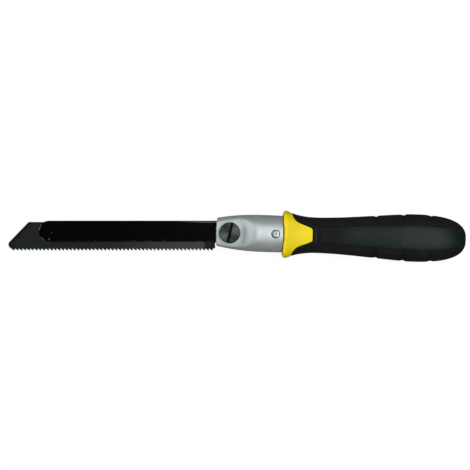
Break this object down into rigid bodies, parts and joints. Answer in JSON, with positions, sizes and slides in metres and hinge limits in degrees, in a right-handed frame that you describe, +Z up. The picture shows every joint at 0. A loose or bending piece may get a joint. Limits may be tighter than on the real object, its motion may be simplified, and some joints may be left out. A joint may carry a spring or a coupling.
{
  "type": "jab saw",
  "caption": "Straight hand saw with an exchangeable toothed blade in a folded support, held by a coin-slot clamp screw in a cast head on a soft-gripped handle.",
  "frame": {"origin": "on the plane that the saw lies on, under the middle of its box", "axes": "+X from the blade's tip to the handle's butt, +Y towards the blade's back, +Z up towards the side with the clamp screw"},
  "size_m": [0.3048, 0.0343, 0.0252],
  "materials": {
    "blade_steel": "blued spring steel with bare ground tooth edges",
    "black_paint": "gloss black lacquer",
    "cast_alloy": "satin silver die casting",
    "black_oxide": "black oxide over a turned face",
    "pad_steel": "plain turned steel",
    "zinc_steel": "bright zinc plate",
    "yellow_plastic": "fine satin moulding grain",
    "grip_rubber": "matt soft overmould",
    "panel_plastic": "satin spark-eroded grain"
  },
  "bodies": {
    "handle": {"head_casting": "cast_alloy", "fixing_screw": "zinc_steel", "handle_core": "yellow_plastic", "grip": "grip_rubber", "side_panel_front": "panel_plastic", "side_panel_back": "panel_plastic"},
    "blade": {"blade": "blade_steel"},
    "support": {"blade_support": "black_paint"},
    "clamp_pad": {"clamp_pad": "pad_steel"},
    "clamp_screw": {"clamp_screw": "black_oxide"}
  },
  "joints": [
    {"name": "clamp_pad_slide", "type": "slide", "parent": "handle", "child": "clamp_pad", "axis": [0, 0, 1], "range_m": [0, 0.00125]},
    {"name": "clamp_screw_turn", "type": "hinge", "parent": "clamp_pad", "child": "clamp_screw", "pos_m": [-0.00472, 0.00224, 0.02], "axis": [0, 0, 1], "range_deg": [0, 360]},
    {"name": "blade_slide", "type": "slide", "parent": "handle", "child": "blade", "axis": [-1, 0, 0], "range_m": [0, 0.142]},
    {"name": "support_slide", "type": "slide", "parent": "handle", "child": "support", "axis": [1, 0, 0], "range_m": [-0.006, 0.022]}
  ],
  "couplings": [
    {"joint": "clamp_pad_slide", "follows": "clamp_screw_turn", "m_per_rad": 0.00019894}
  ]
}
